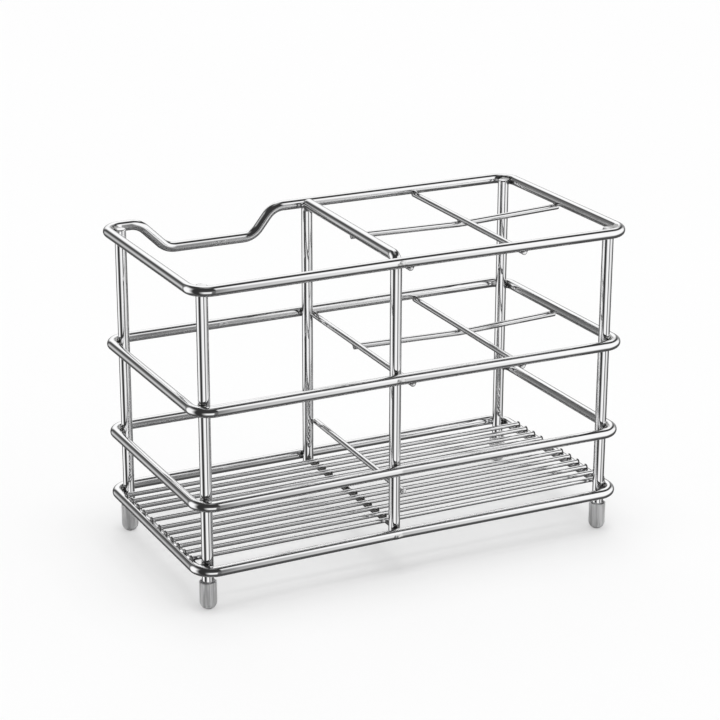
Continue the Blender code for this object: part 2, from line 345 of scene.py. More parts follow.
def all_wires():
    made = {}
    for tier, z in RINGS.items():
        made["ring_" + tier] = Wire(ring_path(z, tier == "rim"), RING_WIRE, UP, closed=True)
    for place, sx, sy in corners():
        ends = [(sx * POST_X, sy * POST_Y, POST_BOTTOM), (sx * POST_X, sy * POST_Y, POST_TOP)]
        made["post_" + place] = Wire(ends, POST_WIRE, RIGHT, edge=POST_EDGE)
    made["divider_hoop"] = Wire(hoop_path(), POST_WIRE, RIGHT, edge=FOOT_EDGE)
    for tier in ("rim", "high"):
        z = RINGS[tier] - TIE_DROP
        divider, cross = (depth_tie_path(ends[tier], z) for ends in (DIVIDER_TIE_X, CROSS_TIE_X))
        made["tie_divider_" + tier] = Wire(divider, TIE_WIRE, UP, edge=TIE_EDGE)
        made["tie_cross_" + tier] = Wire(cross, TIE_WIRE, UP, edge=TIE_EDGE)
        made["tie_long_" + tier] = Wire(long_tie_path(tier, z), TIE_WIRE, UP, edge=TIE_EDGE)
    beside = POST_R + TIE_R + GAP
    low = [
        (HOOP_FRONT_X + beside, LEG_FRONT_Y - LOW_TIE_PAST_LEG, LOW_TIE_Z),
        (HOOP_REAR_X + beside, LEG_REAR_Y + LOW_TIE_PAST_LEG, LOW_TIE_Z),
    ]
    made["tie_divider_low"] = Wire(low, TIE_WIRE, UP, edge=TIE_EDGE)
    inset = POST_R + GAP
    reach = (LEG_FRONT_Y + inset, LEG_REAR_Y - inset)
    under = [(BASE_TIE_X, y, BASE_TIE_Z) for y in reach]
    made["tie_base"] = Wire(under, TIE_WIRE, UP, edge=BASE_EDGE)
    reach = HALF_X + BASE_OVERHANG
    for index in range(BASE_COUNT):
        y = base_y(index)
        name = f"base_wire_{index + 1:02d}"
        made[name] = Wire([(-reach, y, BASE_Z), (reach, y, BASE_Z)], BASE_WIRE, UP, edge=BASE_EDGE)
    return made


def all_welds():
    """Each weld as (group, kind, one wire, the other wire, the point where they meet)."""
    made = []
    for tier, z in RINGS.items():
        ring = "ring_" + tier
        for place, sx, sy in corners():
            out = CORNER_BEND - RING_R - GAP / 2
            x = sx * (HALF_X - CORNER_BEND + out * math.cos(POST_TOUCH_ANGLE))
            y = sy * (HALF_Y - CORNER_BEND + out * math.sin(POST_TOUCH_ANGLE))
            made.append((tier, "post", "post_" + place, ring, (x, y, z)))
        for x, y, sign in ((HOOP_FRONT_X, LEG_FRONT_Y, -1), (HOOP_REAR_X, LEG_REAR_Y, 1)):
            kind, height = ("bend", HOOP_Z - HOOP_BEND) if tier == "rim" else ("leg", z)
            at = (x, y + sign * (POST_R + GAP / 2), height)
            made.append((tier, kind, "divider_hoop", ring, at))
    for tier in ("rim", "high"):
        z = RINGS[tier] - RING_R
        ring = "ring_" + tier
        for kind, ends in (("divider", DIVIDER_TIE_X[tier]), ("cross", CROSS_TIE_X[tier])):
            front = front_y(ends[0])
            for y in (front + TIE_WELD_INSET, HALF_Y - TIE_WELD_INSET):
                made.append((tier, "tie", f"tie_{kind}_{tier}", ring, (tie_x(ends, y), y, z)))
        start, under, end = long_tie_path(tier, RINGS[tier] - TIE_DROP)
        above = RINGS[tier] - TIE_DROP - TIE_R
        crossing = tie_x(DIVIDER_TIE_X[tier], start[1])
        long_tie = "tie_long_" + tier
        made.append((tier, "tie", long_tie, "tie_divider_" + tier, (crossing, start[1], above)))
        made.append((tier, "tie", long_tie, "tie_cross_" + tier, (under[0], under[1], above)))
        made.append((tier, "tie", long_tie, ring, (HALF_X, end[1], z)))
    for x, y in ((HOOP_FRONT_X, LEG_FRONT_Y), (HOOP_REAR_X, LEG_REAR_Y)):
        at = (x + POST_R + GAP / 2, y, LOW_TIE_Z)
        made.append(("low", "tie", "tie_divider_low", "divider_hoop", at))
    for x, y, sign in ((HOOP_FRONT_X, LEG_FRONT_Y, 1), (HOOP_REAR_X, LEG_REAR_Y, -1)):
        at = (BASE_TIE_X, y + sign * (POST_R + GAP / 2), BASE_TIE_Z)
        made.append(("base", "tie", "tie_base", "divider_hoop", at))
    for index in range(BASE_COUNT):
        name = f"base_wire_{index + 1:02d}"
        y = base_y(index)
        made.append(("base", "base", name, "tie_base", (BASE_TIE_X, y, BASE_Z - BASE_R)))
        for sign in (-1, 1):
            made.append(("base", "base", name, "ring_base", (sign * HALF_X, y, BASE_Z - BASE_R)))
    return made


def all_knobs():
    """Where metal squeezed out of a weld: (group, kind, wire under it, centre line, width)."""
    for tier, (x, drop, proud, bow) in MARKS.items():
        out = unit(np.array([0.0, -1.0, -drop / RING_R]))
        middle = np.array([x, front_y(x), RINGS[tier]]) + (RING_R + proud - MARK_WIDE / 2) * out
        way = np.linspace(-MARK_HALF, MARK_HALF, MARK_STEPS)[:, None]
        line = middle + way * np.array(RIGHT) - way**2 / (2 * bow) * out
        yield "press_mark_" + tier, "mark", "ring_" + tier, line, MARK_WIDE
    half = np.array([[-KNOB_LONG / 2, 0.0, 0.0], [KNOB_LONG / 2, 0.0, 0.0]])
    for index in range(BASE_COUNT):
        name = f"base_wire_{index + 1:02d}"
        y = base_y(index)
        for sign in (-1, 1):
            end = np.array([sign * (HALF_X - END_KNOB_IN), y, BASE_Z - END_KNOB_DROP])
            yield "weld_beads_base", "knob", name, end + half, END_KNOB
            side = np.array([BASE_TIE_X, y + sign * TIE_KNOB_OFF, BASE_Z - TIE_KNOB_DROP])
            yield "weld_beads_base", "knob", name, side + half, TIE_KNOB


# ---------------------------------------------------------------- wire meshes

def unit(rows):
    return rows / np.linalg.norm(rows, axis=-1, keepdims=True)


def dense(wire):
    """The path with more points on its long stretches, and closer ones beside each joint."""
    path = wire.path
    count = len(path) if wire.closed else len(path) - 1
    made = []
    for k in range(count):
        a, b = path[k], path[(k + 1) % len(path)]
        length = np.linalg.norm(b - a)
        way = (b - a) / length
        parts = max(1, math.ceil(length / STRETCH))
        stops = [length * i / parts for i in range(parts)]
        for joint in wire.joints:
            off = joint - a
            here = off @ way
            if np.linalg.norm(off - here * way) < JOINT_SPAN * wire.radius:
                stops += [here + sign * step for step in NEAR_JOINT for sign in (-1, 1)] + [here]
        last = -1.0
        for stop in sorted(s for s in stops if 0 <= s < length - LEAST_STEP or s == 0):
            if stop - last >= LEAST_STEP:
                made.append(a + way * stop)
                last = stop
    if not wire.closed:
        made.append(path[-1])
    return np.array(made)


def mesh_object(name, verts, faces, normals):
    mesh = bpy.data.meshes.new(name)
    mesh.from_pydata(verts.tolist(), [], faces)
    mesh.polygons.foreach_set("use_smooth", [True] * len(mesh.polygons))
    mesh.normals_split_custom_set_from_vertices(normals.tolist())
    mesh.update()
    made = bpy.data.objects.new(name, mesh)
    bpy.context.scene.collection.objects.link(made)
    return made


def wire_object(name, wire, sides):
    """The wire's surface, with normals set square to the wire, and two attributes for its material:
    wire_space, the place round and along the wire, and weld_near, which rises to 1 at a weld."""
    path = dense(wire)
    steps = np.roll(path, -1, 0) - path if wire.closed else np.diff(path, axis=0)
    way = unit(steps)
    if wire.closed:
        ahead, behind = way, np.roll(way, 1, 0)
    else:
        ahead, behind = np.vstack([way, way[-1:]]), np.vstack([way[:1], way])
    along = unit(ahead + behind)
    across = unit(wire.side - (along @ wire.side)[:, None] * along)
    over = np.cross(along, across)
    lengths = np.linalg.norm(steps, axis=1)
    travelled = np.concatenate([[0], np.cumsum(lengths)])[: len(path)]
    if wire.closed:
        travelled = np.minimum(travelled, lengths.sum() - travelled)
    # Each station is (path index, shift along the wire, radius, tilt of the normal to the end).
    stations = [(k, 0.0, wire.radius, 0.0) for k in range(len(path))]
    if not wire.closed:
        turns = [math.pi / 2 * s / EDGE_STEPS for s in range(EDGE_STEPS + 1)]
        edge = wire.edge
        flat = wire.radius - edge
        end = [(edge * (math.sin(t) - 1), flat + edge * math.cos(t), t) for t in turns]
        end.append((END_CROWN * CROWN_RISE, flat * CROWN_WIDE, math.pi / 2 - CROWN_LEAN))
        last = len(path) - 1
        head = [(0, -shift, radius, -tilt) for shift, radius, tilt in reversed(end)]
        tail = [(last, shift, radius, tilt) for shift, radius, tilt in end]
        stations = head + stations[1:-1] + tail
    angles = np.linspace(0, 2 * math.pi, sides, endpoint=False)
    verts, normals, space = [], [], []
    for k, shift, radius, tilt in stations:
        spoke = np.cos(angles)[:, None] * across[k] + np.sin(angles)[:, None] * over[k]
        verts.append(path[k] + shift * along[k] + radius * spoke)
        normals.append(math.cos(tilt) * spoke + math.sin(tilt) * along[k])
        where = np.full(sides, travelled[k] + shift)
        space.append(np.stack([radius * np.cos(angles), radius * np.sin(angles), where], axis=1))
    rows = len(stations)
    faces = []
    for i in range(rows if wire.closed else rows - 1):
        low, high = i * sides, (i + 1) % rows * sides
        for j in range(sides):
            n = (j + 1) % sides
            faces.append((low + j, low + n, high + n, high + j))
    verts, normals, space = np.vstack(verts), np.vstack(normals), np.vstack(space)
    if not wire.closed:
        for k, first, sign in ((0, 0, -1), (len(path) - 1, (rows - 1) * sides, 1)):
            tip = len(verts)
            verts = np.vstack([verts, path[k] + sign * END_CROWN * along[k]])
            normals = np.vstack([normals, sign * along[k]])
            space = np.vstack([space, (0, 0, travelled[k])])
            for j in range(sides):
                here, after = first + j, first + (j + 1) % sides
                faces.append((tip, here, after) if sign > 0 else (tip, after, here))
    made = mesh_object(name, verts, faces, normals)
    near = np.zeros(len(verts))
    for joint in wire.joints:
        away = np.linalg.norm(verts - joint, axis=1)
        near = np.maximum(near, np.clip(STAIN_FULL - away / (STAIN_REACH * wire.radius), 0, 1))
    place = made.data.attributes.new("wire_space", "FLOAT_VECTOR", "POINT")
    place.data.foreach_set("vector", space.astype(np.float32).ravel())
    heat = made.data.attributes.new("weld_near", "FLOAT", "POINT")
    heat.data.foreach_set("value", near.astype(np.float32))
    return made


# ---------------------------------------------------------------- welds

def wire_distance(wire, joint):
    """A function giving the signed distance to the wire's surface near a joint."""
    path = wire.path
    count = len(path) if wire.closed else len(path) - 1
    stretches, planes = [], []
    for k in range(count):
        a, b = path[k], path[(k + 1) % len(path)]
        way = b - a
        share = float(np.clip((joint - a) @ way / (way @ way), 0, 1))
        if np.linalg.norm(joint - a - share * way) > WELD_REACH:
            continue
        low = -np.inf if not wire.closed and k == 0 else 0.0
        high = np.inf if not wire.closed and k == count - 1 else 1.0
        stretches.append((a, way, low, high))
    if not wire.closed:
        planes = [(path[0], -unit(path[1] - path[0])), (path[-1], unit(path[-1] - path[-2]))]

    def distance(points):
        best = np.full(len(points), np.inf)
        for a, way, low, high in stretches:
            off = points - a
            share = np.clip(off @ way / (way @ way), low, high)
            best = np.minimum(best, np.linalg.norm(off - share[:, None] * way, axis=1))
        best -= wire.radius
        for end, out in planes:
            if np.linalg.norm(end - joint) < WELD_REACH:
                best = np.maximum(best, (points - end) @ out)
        return best

    return distance


def weld_mesh(kind, one, other, joint, chance):
    """The fillet of molten metal at a joint: where the two wires run together, less a little.
    It lies just under their surfaces everywhere but in the joint."""
    reach, keep, step, rough = WELDS[kind]
    to_one, to_other = wire_distance(one, joint), wire_distance(other, joint)
    shape = (RIPPLE_COUNT, 3)
    waves = chance.uniform(*RIPPLE_WAVES, shape) * chance.choice((-1, 1), shape)
    phases = chance.uniform(0, 2 * math.pi, RIPPLE_COUNT)
    reach = reach * chance.uniform(*REACH_SPREAD)
    lean = chance.normal(0, LEAN_SPREAD * reach, 3)

    def field(points):
        a, b = to_one(points), to_other(points)
        h = np.clip(reach - np.abs(a - b), 0, None)
        joined = np.minimum(a, b) - h * h / (4 * reach)
        ripple = np.sin((points - joint) @ waves.T + phases).mean(axis=1)
        joined = joined + WELD_UNDER + rough * ripple * np.clip(h / reach, 0, 1)
        return np.maximum(joined, np.linalg.norm(points - joint - lean, axis=1) - keep)

    half = math.ceil((keep + reach * GRID_MARGIN) / step)
    ticks = np.arange(-half, half + 1) * step
    cube = np.stack(np.meshgrid(ticks, ticks, ticks, indexing="ij"), axis=-1)
    values = field(cube.reshape(-1, 3) + joint).reshape(cube.shape[:3]) / step
    grid = openvdb.FloatGrid(background=float(half))
    grid.copyFromArray(values.astype(np.float32))
    points, quads = grid.convertToQuads()
    points = joint + (points.astype(float) - half) * step

    def slope(at):
        nudge = step * SETTLE_NUDGE
        rises = [field(at + nudge * axis) - field(at - nudge * axis) for axis in np.eye(3)]
        return np.stack(rises, axis=1) / (2 * nudge)

    for _ in range(SETTLE_MOVES):
        gradient = slope(points)
        size = np.maximum((gradient**2).sum(axis=1, keepdims=True), LEAST_SLOPE)
        move = -field(points)[:, None] * gradient / size
        points = points + np.clip(move, -SETTLE_MOST * step, SETTLE_MOST * step)
    return points, quads, unit(slope(points) + TINY)


def make_welds(wires):
    """All welds, knobs and marks as {name: object}. Each weld becomes a joint of its two wires."""
    chance = np.random.default_rng(WELD_SEED)
    groups = {}
    for tier, kind, one, other, at in all_welds():
        joint = np.array(at, float)
        for name in (one, other):
            wires[name].joints.append(joint)
        mesh = weld_mesh(kind, wires[one], wires[other], joint, chance)
        groups.setdefault("weld_beads_" + tier, []).append(mesh)
    for group, kind, name, line, wide in all_knobs():
        mesh = weld_mesh(kind, wires[name], Wire(line, wide, UP), line.mean(axis=0), chance)
        groups.setdefault(group, []).append(mesh)
    made = {}
    for group, meshes in groups.items():
        verts, faces, normals, first = [], [], [], 0
        for points, quads, out in meshes:
            verts.append(points)
            normals.append(out)
            faces.extend((quads.astype(int) + first).tolist())
            first += len(points)
        made[group] = mesh_object(group, np.vstack(verts), faces, np.vstack(normals))
    return made


# ---------------------------------------------------------------- caps

def cap_object(name, x, y):
    """A silicone cup: a round bottom with a small flat, a soft lip and a slightly wider mouth."""
    rise = math.sqrt(CAP_R**2 - CAP_FLAT_RADIUS**2)
    first = math.asin(CAP_FLAT_RADIUS / CAP_R)
    profile = [(0.0, 0.0), (CAP_FLAT_RADIUS * CAP_FLAT_STOP, 0.0)]
    for k in range(CAP_BOWL_STEPS + 1):
        angle = first + (math.pi / 2 - first) * k / CAP_BOWL_STEPS
        profile.append((CAP_R * math.sin(angle), rise - CAP_R * math.cos(angle)))
    for share in CAP_WALL_STOPS:
        profile.append((CAP_R, rise + share * (CAP_HEIGHT - rise)))
    lip = CAP_HEIGHT - CAP_LIP
    for centre, start in ((CAP_R - CAP_LIP, 0), (CAP_MOUTH + CAP_LIP, math.pi / 2)):
        for k in range(CAP_LIP_STEPS + 1):
            angle = start + math.pi / 2 * k / CAP_LIP_STEPS
            profile.append((centre + CAP_LIP * math.cos(angle), lip + CAP_LIP * math.sin(angle)))
    bore = CAP_BORE_R - CAP_BORE_IN
    for k in range(1, CAP_MOUTH_STEPS + 1):
        share = k / CAP_MOUTH_STEPS
        narrow = CAP_MOUTH + (bore - CAP_MOUTH) * math.sin(share * math.pi / 2)
        profile.append((narrow, lip - CAP_MOUTH_DEPTH * share))
    profile.append((bore, CAP_FLOOR_THICKNESS + CAP_BORE_EDGE))
    profile.append((bore - CAP_BORE_EDGE, CAP_FLOOR_THICKNESS))
    profile.append((0.0, CAP_FLOOR_THICKNESS))
    angles = np.linspace(0, 2 * math.pi, CAP_TURNS, endpoint=False)
    verts, rings = [], []
    for radius, height in profile:
        if radius == 0:
            rings.append([len(verts)] * CAP_TURNS)
            verts.append((x, y, height))
        else:
            rings.append(list(range(len(verts), len(verts) + CAP_TURNS)))
            spokes = ((radius * math.cos(a), radius * math.sin(a)) for a in angles)
            verts.extend((x + across, y + over, height) for across, over in spokes)
    faces = []
    for low, high in zip(rings, rings[1:]):
        for j in range(CAP_TURNS):
            n = (j + 1) % CAP_TURNS
            corner = [low[j], low[n], high[n], high[j]]
            faces.append(tuple(dict.fromkeys(corner)))
    mesh = bpy.data.meshes.new(name)
    mesh.from_pydata(verts, [], faces)
    mesh.shade_smooth()
    mesh.update()
    made = bpy.data.objects.new(name, mesh)
    bpy.context.scene.collection.objects.link(made)
    return made


# ---------------------------------------------------------------- materials

# Each noise is (scale along each axis, detail, roughness); each depth is that of a bump, in metres.
WIRE_LINES = ((2600, 2600, 45), 3, 0.6)
WIRE_CLOUD = ((420, 420, 130), 4, 0.6)
WIRE_WAVE = ((160, 160, 40), 1, 0.4)
WIRE_GRIME = ((1500, 1500, 1300), 4, 0.65)
WIRE_LINE_DEPTH = 0.0000005
WIRE_WAVE_DEPTH = 0.000004
WIRE_PIT_DEPTH = 0.00002
STAIN_MOST = 0.75
STAIN_DULLS = 0.20
STAIN_TINTS = 0.35
STAIN_COLOUR = (0.42, 0.40, 0.38, 1)
WELD_BLOT = ((700, 700, 700), 4, 0.6)
WELD_GRAIN = ((2600, 2600, 2600), 3, 0.6)
WELD_ROUGHNESS = (0.08, 0.22)
WELD_GRAIN_DEPTH = 0.00001
WELD_BLOT_DEPTH = 0.00009
CAP_STREAKS = ((900, 900, 60), 3, 0.55)
CAP_STREAK_STEP = (0.5, 0.17)
CAP_SKIN = ((4200, 4200, 4200), 2, 0.5)
CAP_SKIN_DEPTH = 0.000008
CAP_DARK = (0.50, 0.50, 0.502, 1)
CAP_LIGHT = (0.84, 0.84, 0.842, 1)
CAP_ROUGHNESS = (0.38, 0.56)
# How the silicone bends light, and the share and depth of the light that goes inside it.
CAP_IOR = 1.41
CAP_GLOW = 0.5
CAP_GLOW_DEPTH = 0.0012
# The darkest and the lightest tone of each steel, and for a wire its least and most roughness.
WIRE_STEELS = {
    "polished_steel_wire": ((0.82, 0.82, 0.825, 1), (0.88, 0.88, 0.885, 1), 0.025, 0.05),
    "polished_steel_thin_wire": ((0.80, 0.80, 0.805, 1), (0.87, 0.87, 0.875, 1), 0.045, 0.09),
    # The base tie's steel is painted dark: painted shade for the tie lying in the shadow under the
    # base wires.
    "painted_shade_steel_tie": ((0.16, 0.157, 0.153, 1), (0.34, 0.336, 0.33, 1), 0.08, 0.16),
}
WELD_STEELS = {
    "set_weld_steel": ((0.12, 0.117, 0.113, 1), (0.52, 0.52, 0.52, 1)),
    # The base welds' steel is painted near black: painted contact shade where the base wires meet
    # the ring and the tie.
    "painted_shade_weld_steel": ((0.03, 0.029, 0.028, 1), (0.30, 0.30, 0.30, 1)),
    "pressed_steel": ((0.55, 0.548, 0.545, 1), (0.86, 0.86, 0.86, 1)),
}


def new_tree(name):
    made = bpy.data.materials.new(name)
    made.use_nodes = True
    made.node_tree.nodes.clear()
    return made, made.node_tree


def node(tree, kind, settings=None, **inputs):
    """A shader node. An input named i0, i1 ... is taken by its number, any other by its name."""
    made = tree.nodes.new("ShaderNode" + kind)
    for key, value in (settings or {}).items():
        setattr(made, key, value)
    for key, value in inputs.items():
        numbered = key[0] == "i" and key[1:].isdigit()
        socket = made.inputs[int(key[1:])] if numbered else made.inputs[key.replace("_", " ")]
        if isinstance(value, bpy.types.NodeSocket):
            tree.links.new(value, socket)
        else:
            socket.default_value = value
    return made


def calc(tree, operation, a, b=0.0):
    return node(tree, "Math", {"operation": operation}, i0=a, i1=b).outputs[0]


def mix(tree, share, a, b):
    """From number a to number b as the share goes from 0 to 1."""
    return node(tree, "Mix", {"data_type": "FLOAT"}, i0=share, i2=a, i3=b).outputs[0]


def mix_colour(tree, share, a, b):
    return node(tree, "Mix", {"data_type": "RGBA"}, i0=share, i6=a, i7=b).outputs[2]


def step(tree, value, middle, soft):
    """From 0 to 1 as the value passes the middle, over the soft width on each side."""
    settings = {"interpolation_type": "SMOOTHSTEP"}
    past = calc(tree, "DIVIDE", calc(tree, "SUBTRACT", value, middle), soft)
    return node(tree, "MapRange", settings, Value=past, From_Min=-1.0, From_Max=1.0).outputs[0]


def noise(tree, place, scale, detail, rough):
    """Noise over a place stretched by a scale for each axis, from about 0 to 1."""
    where = node(tree, "Mapping", Vector=place, Scale=scale).outputs[0]
    made = node(tree, "TexNoise", Vector=where, Scale=1.0, Detail=detail, Roughness=rough)
    return made.outputs["Fac"]


def bumped(tree, height, depth, **below):
    return node(tree, "Bump", Strength=1.0, Distance=depth, Height=height, **below).outputs[0]


def finish_tree(tree, shader):
    node(tree, "OutputMaterial", Surface=shader.outputs[0])


def finish_steel(tree, tone, rough, bump):
    settings = {"Base_Color": tone, "Metallic": 1.0, "Roughness": rough, "Normal": bump}
    finish_tree(tree, node(tree, "BsdfPrincipled", **settings))


def wire_steel(name, dark, light, rough_low, rough_high):
    """Polished drawn steel: faint lines along the wire, a slow wave and dull halos at the welds."""
    made, tree = new_tree(name)
    place = node(tree, "Attribute", {"attribute_name": "wire_space"}).outputs["Vector"]
    near = node(tree, "Attribute", {"attribute_name": "weld_near"}).outputs["Fac"]
    lines, cloud, wave, grime = (
        noise(tree, place, *spec) for spec in (WIRE_LINES, WIRE_CLOUD, WIRE_WAVE, WIRE_GRIME)
    )
    stain = calc(tree, "MULTIPLY", near, calc(tree, "SMOOTH_MIN", grime, STAIN_MOST))
    rough = mix(tree, cloud, rough_low, rough_high)
    rough = calc(tree, "ADD", rough, calc(tree, "MULTIPLY", stain, STAIN_DULLS))
    tone = mix_colour(tree, cloud, dark, light)
    tone = mix_colour(tree, calc(tree, "MULTIPLY", stain, STAIN_TINTS), tone, STAIN_COLOUR)
    bump = bumped(tree, lines, WIRE_LINE_DEPTH)
    bump = bumped(tree, wave, WIRE_WAVE_DEPTH, Normal=bump)
    bump = bumped(tree, calc(tree, "MULTIPLY", grime, near), WIRE_PIT_DEPTH, Normal=bump)
    finish_steel(tree, tone, rough, bump)
    return made


def weld_steel(name, dark, light):
    """Metal that ran and set: still bright, but mottled, duller and a little uneven. Given
    near-black tones, it also serves as painted contact shade.
    """
    made, tree = new_tree(name)
    place = node(tree, "TexCoord").outputs["Object"]
    blot = noise(tree, place, *WELD_BLOT)
    grain = noise(tree, place, *WELD_GRAIN)
    tone = mix_colour(tree, blot, dark, light)
    rough = mix(tree, grain, *WELD_ROUGHNESS)
    bump = bumped(tree, grain, WELD_GRAIN_DEPTH)
    bump = bumped(tree, blot, WELD_BLOT_DEPTH, Normal=bump)
    finish_steel(tree, tone, rough, bump)
    return made


def cap_silicone(name):
    """Cloudy grey silicone: soft inside light, upright streaks and a fine matte skin."""
    made, tree = new_tree(name)
    place = node(tree, "TexCoord").outputs["Object"]
    streaks = step(tree, noise(tree, place, *CAP_STREAKS), *CAP_STREAK_STEP)
    skin = noise(tree, place, *CAP_SKIN)
    tone = mix_colour(tree, streaks, CAP_DARK, CAP_LIGHT)
    rough = mix(tree, skin, *CAP_ROUGHNESS)
    bump = bumped(tree, skin, CAP_SKIN_DEPTH)
    shader = node(
        tree, "BsdfPrincipled", Base_Color=tone, Roughness=rough, Normal=bump, IOR=CAP_IOR,
        Subsurface_Weight=CAP_GLOW, Subsurface_Radius=(1.0, 1.0, 1.0),
        Subsurface_Scale=CAP_GLOW_DEPTH,
    )
    finish_tree(tree, shader)
    return made


# ---------------------------------------------------------------- studio

# The studio that the steel mirrors, drawn in the world as soft panels. Azimuths are in degrees from
# the camera's side of the object, positive to its right; elevations are in degrees above level.
# A panel is (azimuth from, to, softness at each, elevation from, to, softness at each, brightness).
FRONT_PANEL = (-15, 31, 15, 5, -36, -2, 14, 12, 0.90)
BACK_PATCH = (150, 200, 10, 8, -30, 16, 10, 14, 0.30)
# The back panel's left edge leans: at these two elevations it stands at these azimuths. The panel
# is (azimuth to, softness at left, right, elevation from, to, softness at each, brightness).
BACK_LEFT_EDGE = (16, 41, 174, 148)
BACK_PANEL = (213, 6, 10, 8, 60, 12, 22, 0.93)
BACK_TOP_PANEL = (164, 207, 7, 7, 30, 72, 12, 12, 0.95)
LEFT_CARD = (-110, -68, 7, 13, -36, 35, 12, 13, 0.93)
LEFT_GLOW = (-132, -119, 6, 6, -15, 6, 8, 8, 0.55)
GREY_STRIP = (31, 50, 4, 5, -34, 12, 8, 8, 0.13)
# The right window is (azimuth from, to, softness at each, brightness). Its lower edge rises and its
# upper edge falls away from the camera. Each edge is (two azimuths, its elevations there), and the
# lower one's softness is given in the same way.
WINDOW = (51, 143, 6, 20, 0.93)
WINDOW_LOW_EDGE = (65, 150, -29, 7)
WINDOW_LOW_SOFT = (60, 95, 18, 10)
WINDOW_HIGH_EDGE = (75, 157, 52, 17)
WINDOW_HIGH_SOFT = 7
BLACK_FLAG = (-56, -27, 5, 5, -60, 90, 20, 20, 0.03)
HAZE = (228, 300, 10, 12, -20, 44, 12, 12, 0.13)
# Behind the panels: the patch straight up is (elevation, softness, brightness), and the underside
# turns into the ceiling at the horizon's (elevation, softness).
ZENITH = (76, 6, 0.26)
CEILING = 0.035
UNDERSIDE = 0.07
HORIZON = (-6, 16)
STUDIO_STRENGTH = 1.22
# What the camera itself sees behind the object.
WHITE = 0.985


def grey(value):
    return (value, value, value, 1)


def slope_of(tree, value, span):
    """A straight line through (first, third) and (second, fourth), level beyond them."""
    limits = dict(zip(("From_Min", "From_Max", "To_Min", "To_Max"), span))
    return node(tree, "MapRange", Value=value, **limits).outputs[0]


def product(tree, first, *others):
    for other in others:
        first = calc(tree, "MULTIPLY", first, other)
    return first


def short_of(tree, value, high, soft):
    """From 1 to 0 as the value passes the high edge."""
    return calc(tree, "SUBTRACT", 1.0, step(tree, value, high, soft))


def between(tree, value, low, high, low_soft, high_soft):
    after = step(tree, value, low, low_soft)
    return product(tree, after, short_of(tree, value, high, high_soft))


def panel(tree, look, azimuth, elevation, spec):
    *edges, level = spec
    sideways = between(tree, azimuth, *edges[:4])
    upward = between(tree, elevation, *edges[4:])
    return mix(tree, product(tree, sideways, upward), look, level)


def window(tree, look, azimuth, elevation):
    *sides, level = WINDOW
    above = calc(tree, "SUBTRACT", elevation, slope_of(tree, azimuth, WINDOW_LOW_EDGE))
    below = calc(tree, "SUBTRACT", slope_of(tree, azimuth, WINDOW_HIGH_EDGE), elevation)
    past_low = step(tree, above, 0, slope_of(tree, azimuth, WINDOW_LOW_SOFT))
    under_high = step(tree, below, 0, WINDOW_HIGH_SOFT)
    share = product(tree, past_low, under_high, between(tree, azimuth, *sides))
    return mix(tree, share, look, level)


def back_panel(tree, look, azimuth, elevation):
    right, left_soft, right_soft, *heights, level = BACK_PANEL
    past_edge = calc(tree, "SUBTRACT", azimuth, slope_of(tree, elevation, BACK_LEFT_EDGE))
    past_left = step(tree, past_edge, 0, left_soft)
    before_right = short_of(tree, azimuth, right, right_soft)
    share = product(tree, past_left, before_right, between(tree, elevation, *heights))
    return mix(tree, share, look, level)


def to_degrees(tree, value):
    return calc(tree, "MULTIPLY", value, 180 / math.pi)


def make_world():
    world = bpy.data.worlds.new("studio")
    bpy.context.scene.world = world
    world.use_nodes = True
    tree = world.node_tree
    tree.nodes.clear()
    way = node(tree, "TexCoord").outputs["Generated"]
    back = (-AHEAD[0], -AHEAD[1], 0.0)
    to_right, to_camera, rise = (
        node(tree, "VectorMath", {"operation": "DOT_PRODUCT"}, i0=way, i1=axis).outputs["Value"]
        for axis in (TO_RIGHT, back, UP)
    )
    azimuth = to_degrees(tree, calc(tree, "ARCTAN2", to_right, to_camera))
    # The same angle counted from 0 to 360, for what stands behind the object.
    whole_turn = calc(tree, "MULTIPLY", calc(tree, "LESS_THAN", azimuth, 0.0), 360.0)
    turned = calc(tree, "ADD", azimuth, whole_turn)
    elevation = to_degrees(tree, calc(tree, "ARCSINE", rise))
    look = mix(tree, step(tree, elevation, *HORIZON), UNDERSIDE, CEILING)
    *edge, level = ZENITH
    look = mix(tree, step(tree, elevation, *edge), look, level)
    look = panel(tree, look, turned, elevation, HAZE)
    look = panel(tree, look, turned, elevation, BACK_PATCH)
    look = panel(tree, look, azimuth, elevation, FRONT_PANEL)
    look = panel(tree, look, azimuth, elevation, GREY_STRIP)
    look = window(tree, look, azimuth, elevation)
    look = back_panel(tree, look, turned, elevation)
    look = panel(tree, look, turned, elevation, BACK_TOP_PANEL)
    look = panel(tree, look, azimuth, elevation, LEFT_CARD)
    look = panel(tree, look, azimuth, elevation, LEFT_GLOW)
    look = panel(tree, look, azimuth, elevation, BLACK_FLAG)
    look = calc(tree, "MULTIPLY", look, STUDIO_STRENGTH)
    studio = node(tree, "Background", Color=grey(1.0), Strength=look).outputs[0]
    plain = node(tree, "Background", Color=grey(WHITE), Strength=1.0).outputs[0]
    seen = node(tree, "LightPath").outputs["Is Camera Ray"]
    both = node(tree, "MixShader", Fac=seen, i1=studio, i2=plain).outputs[0]
    node(tree, "OutputWorld", Surface=both)


FLOOR_HALF = 12.0
FLOOR_CLOUD = ((3, 3, 3), 2, 0.5)
FLOOR_TONES = (0.86, 0.88)
# The share of plain white in what a camera sees of the floor: it lightens the shadow.
FLOOR_WHITE_SHARE = 0.50
LAMP_STRENGTH = 2.36
LAMP_SPREAD = math.radians(36)
# How far the lamp leans from straight up, to the camera's right and away from the camera.
LAMP_SIDE = 0.02
LAMP_BACK = -0.06


